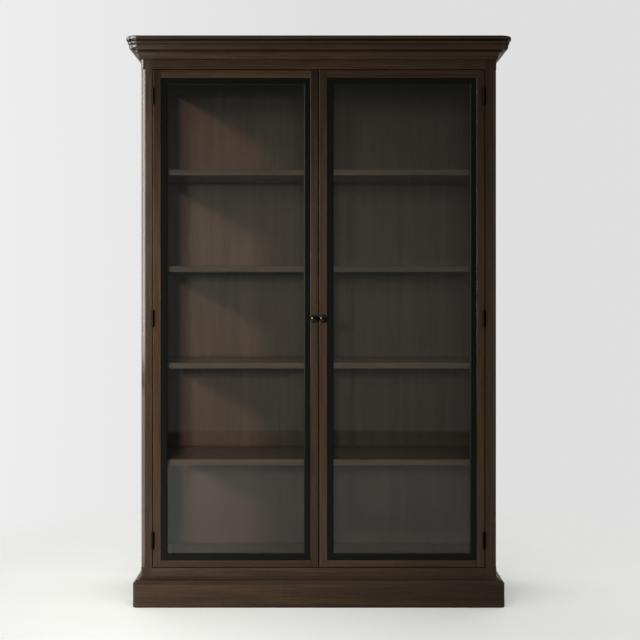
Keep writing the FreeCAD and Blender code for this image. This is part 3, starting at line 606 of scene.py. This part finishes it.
glow = add(sky, "ShaderNodeBackground", {"Color": tint.outputs[2], "Strength": strength.outputs[0]})
add(sky, "ShaderNodeOutputWorld", {0: glow.outputs[0]})
print("world:", world.name)

# %% [markdown]
# Every lamp is put up in the same way, and most of them shine on chosen pieces only, as a
# photographer does with cards and flags. The soft boxes stand in for windows: they give gleam and no
# body light. The two windows leave out the panes, which would mirror them. The others draw the bright
# line down the rounded post, and the thin ones along the bars on the right-hand side of each door.

# %% Windows along the edges
LAMP_COLOUR = "#fffefb"
MIRRORING = ("_glass", "_metal_frame")


def pieces(*names):
    """The model's pieces of these names."""
    return [frame["nodes"][name] for name in names]


def group(name, members):
    """A collection of objects, for a lamp to shine on or be shaded by."""
    made = bpy.data.collections.new(name)
    for member in members:
        made.objects.link(member)
    return made


def put_up(name, kind, place, target, power, shines_on):
    """A lamp that faces a point and lights all, or only what it shines on."""
    data = bpy.data.lights.new(name, kind)
    data.energy = power
    data.color = to_linear(LAMP_COLOUR)[:3]
    lamp = bpy.data.objects.new(name, data)
    lamp.location = place
    lamp.rotation_euler = (Vector(target) - lamp.location).to_track_quat("-Z", "Y").to_euler()
    lamp.visible_camera = False
    lamp.visible_transmission = False
    if shines_on:
        lamp.light_linking.receiver_collection = group(f"lit by the {name}", shines_on)
    bpy.context.scene.collection.objects.link(lamp)
    return lamp


def soft_box(name, place, target, size, power, shines_on, gleam_only=True):
    """A rectangular lamp of a size in metres, which gives gleam alone or body light as well."""
    lamp = put_up(name, "AREA", place, target, power, shines_on)
    lamp.data.shape = "RECTANGLE"
    lamp.data.size, lamp.data.size_y = size
    lamp.visible_diffuse = not gleam_only
    return lamp


not_mirroring = [node for name, node in frame["nodes"].items() if not name.endswith(MIRRORING)]
not_mirroring.append(floor)
round_edges = pieces("left_front_post", "right_front_post", "cornice_front", "left_cornice_side")
left_bars = pieces("left_door_metal_frame", "left_door_meeting_stile")
right_bars = pieces("right_door_metal_frame", "right_door_hinge_stile", "right_front_post")
soft_box("window", (-2.6, -1.6, 1.85), (-0.7, -0.5, 1.85), (1.3, 2.1), 130, not_mirroring)
soft_box("far window", (-2.6, 0.1, 1.85), (-0.7, -0.1, 1.85), (1.7, 2.1), 95, not_mirroring)
soft_box("left edge", (-1.95, -1.72, 1.85), (-0.7, -0.17, 1.85), (1.7, 2.1), 186, round_edges)
soft_box("low left edge", (-1.11, -0.385, 0.405), (-0.7, -0.17, 0.405), (0.8, 0.77), 11, round_edges)
soft_box("right edge", (2.3, -1.3, 1.3), (0.7, -0.17, 1.3), (1.4, 2.4), 8, round_edges)
soft_box("left door edge", (-2.6, -0.75, 1.5), (0.0, -0.17, 1.4), (1.2, 2.2), 48, left_bars)
soft_box("right door edge", (-2.6, -0.75, 1.5), (0.0, -0.17, 1.4), (1.2, 2.2), 110, right_bars)
print("soft boxes:", [lamp.name for lamp in bpy.data.lights if lamp.type == "AREA"])

# %% [markdown]
# The body light comes from spots in front, a little to the left, with soft beams that fade to the
# right. They give no gleam, so no lamp shows in the panes. The keys pass the slender inner bars of
# the right door, which would throw a dark band beside them on the back. Two spots light only the
# boards inside, which lie behind glass and would fall too dark. A spot and a wide soft box light only
# the floor, to keep it pale.

# %% Spots
KEY_PLACE = (-1.0, -4.6, 1.6)
KEY_RADIUS = 0.30
INSIDE_RADIUS = 0.50


def spot(name, place, target, radius, spread, power, shines_on=None):
    """A soft round lamp, its beam spread in degrees, whose light falls off towards the rim."""
    lamp = put_up(name, "SPOT", place, target, power, shines_on)
    lamp.data.shadow_soft_size = radius
    lamp.data.spot_size = math.radians(spread)
    lamp.data.spot_blend = 1.0
    lamp.visible_glossy = False
    return lamp


keys = [
    spot("wide key", KEY_PLACE, (-0.50, -0.17, 0.9), KEY_RADIUS, 35, 455),
    spot("left key", KEY_PLACE, (-0.95, -0.17, 1.1), KEY_RADIUS, 25, 165),
    spot("low key", KEY_PLACE, (-0.95, -0.17, 0.30), KEY_RADIUS, 26, 93),
]
slender = pieces("right_door_meeting_stile", "right_door_metal_frame")
shading = [node for node in frame["nodes"].values() if node not in slender]
for key in keys:
    key.light_linking.blocker_collection = group(f"shading the {key.name}", shading)
not_stiles = [node for name, node in frame["nodes"].items() if not name.endswith("_stile")]
inside = pieces("back_panel", *SHELVES)
low_shelves = pieces("shelf_1", "shelf_2")
spot("high key", (-1.0, -4.6, 2.6), (-0.18, -0.17, 2.05), KEY_RADIUS, 30, 122, not_stiles)
spot("inside key", (0.3, -4.4, 2.0), (0.25, 0.15, 1.70), INSIDE_RADIUS, 34, 170, inside)
spot("shelf key", (-0.2, -4.4, 1.3), (0.05, 0.0, 0.75), INSIDE_RADIUS, 30, 200, low_shelves)
spot("floor lamp", (-0.3, -1.4, 3.0), (-0.3, -0.4, 0.0), 0.40, 42, 68, [floor])
soft_box("overhead", (0.2, -0.4, 4.2), (0.2, -0.4, 0.0), (5.0, 5.0), 155, [floor], gleam_only=False)
print("spots:", [lamp.name for lamp in bpy.data.lights if lamp.type == "SPOT"])

# %% [markdown]
# Low sun falls on the back behind the left door and leaves a warm slanting patch under each shelf.
# Only the back takes it, and only the shelves, the board over them, the left posts and a card throw
# shadows in it. The card stands inside the left side, where no one sees it, and trims the patches.

# %% Low sun on the back
SUN_WAY = (1.0, 0.5, -0.57)
SUN_WIDTH = 8.0              # degrees, far wider than the real sun: the patches have soft rims
SUN_POWER = 4.2              # watts a square metre
SUN_COLOUR = "#ffd5c0"
CARD_EDGE = -0.004           # how far back the card reaches

panel_low, panel_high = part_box("left_side_panel")
post_low, post_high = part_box("left_front_post")
middle = (panel_low.x + panel_high.x) / 2
card_corners = [
    (middle, panel_low.y, post_low.z), (middle, CARD_EDGE, post_low.z),
    (middle, CARD_EDGE, post_high.z), (middle, panel_low.y, post_high.z)]
card_mesh = bpy.data.meshes.new("card")
card_mesh.from_pydata(card_corners, [], [(0, 1, 2, 3)])
card = bpy.data.objects.new("card", card_mesh)
bpy.context.scene.collection.objects.link(card)

sun = put_up("low sun", "SUN", (0, 0, 0), SUN_WAY, SUN_POWER, pieces("back_panel"))
sun.data.angle = math.radians(SUN_WIDTH)
sun.data.color = to_linear(SUN_COLOUR)[:3]
sun.visible_glossy = False
in_the_sun = [card] + pieces("inside_top_board", *SHELVES, "left_front_post", "left_rear_post")
sun.light_linking.blocker_collection = group("shading the low sun", in_the_sun)
print("the card is", round(CARD_EDGE - panel_low.y, 3), "m wide")
